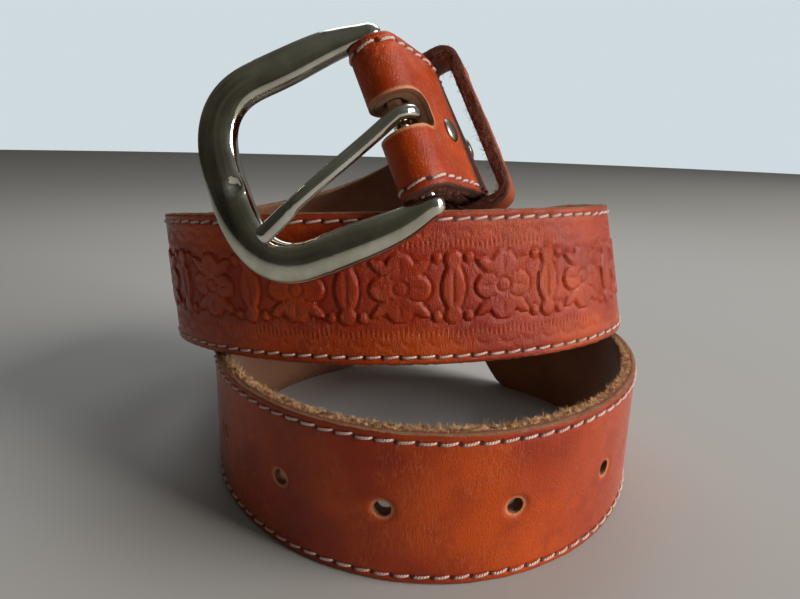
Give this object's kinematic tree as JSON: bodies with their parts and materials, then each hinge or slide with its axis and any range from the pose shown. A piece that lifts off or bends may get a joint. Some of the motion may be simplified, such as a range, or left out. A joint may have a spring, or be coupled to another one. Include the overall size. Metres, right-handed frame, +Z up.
{
  "type": "leather belt",
  "caption": "Coiled leather belt with a tooled face, sewn edges, punched holes, a riveted end and keeper, and a rounded single-prong buckle.",
  "frame": {"origin": "on the table under the middle of the coil's outline", "axes": "+Z up, -Y towards the side with the buckle and the punched holes, +X to the right seen from that side"},
  "size_m": [0.1558, 0.1629, 0.1284],
  "materials": {
    "strap_leather": "glossy full-grain face, raw tan cut edges",
    "sewing_thread": "waxed thread",
    "buckle_metal": "polished dark nickel",
    "prong_metal": "polished nickel wire",
    "keeper_leather": "dark, rough cut edges",
    "rivet_metal": "antique nickel"
  },
  "bodies": {
    "strap": {"strap": "strap_leather", "folded_end": "strap_leather", "upper_edge_thread": "sewing_thread", "lower_edge_thread": "sewing_thread", "front_rivet_cap": "rivet_metal", "front_rivet_post": "rivet_metal", "rear_rivet_cap": "rivet_metal", "rear_rivet_post": "rivet_metal"},
    "buckle": {"buckle_frame": "buckle_metal", "buckle_bar": "buckle_metal"},
    "prong": {"prong": "prong_metal"},
    "keeper": {"keeper": "keeper_leather", "keeper_staple": "rivet_metal"}
  },
  "joints": [
    {"name": "buckle_hinge", "type": "hinge", "parent": "strap", "child": "buckle", "pos_m": [-0.00065, -0.04685, 0.10605], "axis": [-0.368, 0.3416, 0.8648], "range_deg": [0, 130]},
    {"name": "prong_hinge", "type": "hinge", "parent": "buckle", "child": "prong", "pos_m": [-0.00065, -0.04685, 0.10605], "axis": [-0.368, 0.3416, 0.8648], "range_deg": [0, 140]},
    {"name": "keeper_slide", "type": "slide", "parent": "strap", "child": "keeper", "axis": [-0.3267, -0.9022, 0.2816], "range_m": [-0.0025, 0.0025]}
  ]
}
